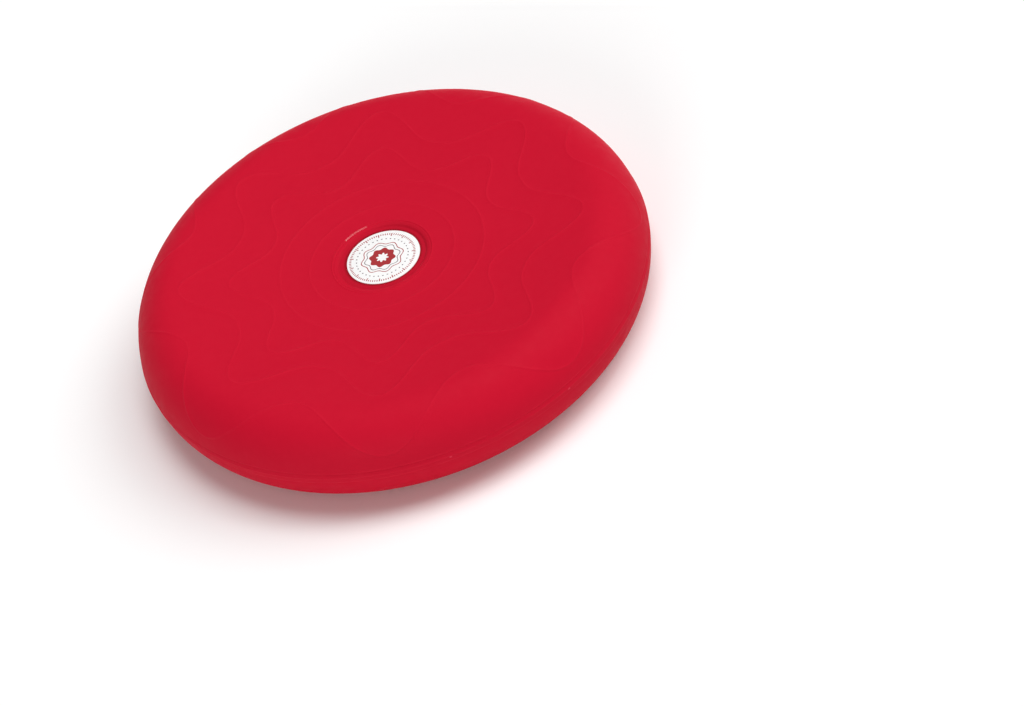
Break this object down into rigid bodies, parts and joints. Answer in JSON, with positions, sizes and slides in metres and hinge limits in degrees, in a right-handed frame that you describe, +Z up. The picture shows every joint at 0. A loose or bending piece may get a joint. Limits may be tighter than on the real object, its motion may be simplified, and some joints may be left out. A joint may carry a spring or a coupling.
{
  "type": "wobble cushion",
  "caption": "Round air-filled balance cushion of soft PVC with a dished top, wavy grip lines, a labelled middle recess, a welded rim and a needle valve.",
  "frame": {"origin": "middle of the underside, on the floor that the cushion lies on", "axes": "+Z up through the middle of the cushion; the needle valve is in the side wall at +Y"},
  "size_m": [0.33, 0.33, 0.0634],
  "materials": {
    "skin": "soft red PVC, nearly matte, very fine moulded grain",
    "seam": "welded soft red PVC, satin",
    "label": "white film sticker with a plain red print",
    "valve_socket": "moulded red PVC, smooth",
    "valve_rubber": "black rubber, matte",
    "plug": "white moulded plastic, satin"
  },
  "bodies": {
    "base": {"lower_shell": "skin", "rim_seam": "seam", "valve_socket": "valve_socket", "valve_core": "valve_rubber"},
    "crown": {"upper_shell": "skin", "label": "label"},
    "plug": {"valve_plug": "plug"}
  },
  "joints": [
    {"name": "crown_sink", "type": "slide", "parent": "base", "child": "crown", "axis": [0, 0, 1], "range_m": [-0.012, 0], "stiffness_N_per_m": 30000, "deforming": ["upper_shell"]},
    {"name": "plug_pull", "type": "slide", "parent": "base", "child": "plug", "axis": [0, 0.9201, -0.3917], "range_m": [0, 0.012]}
  ]
}
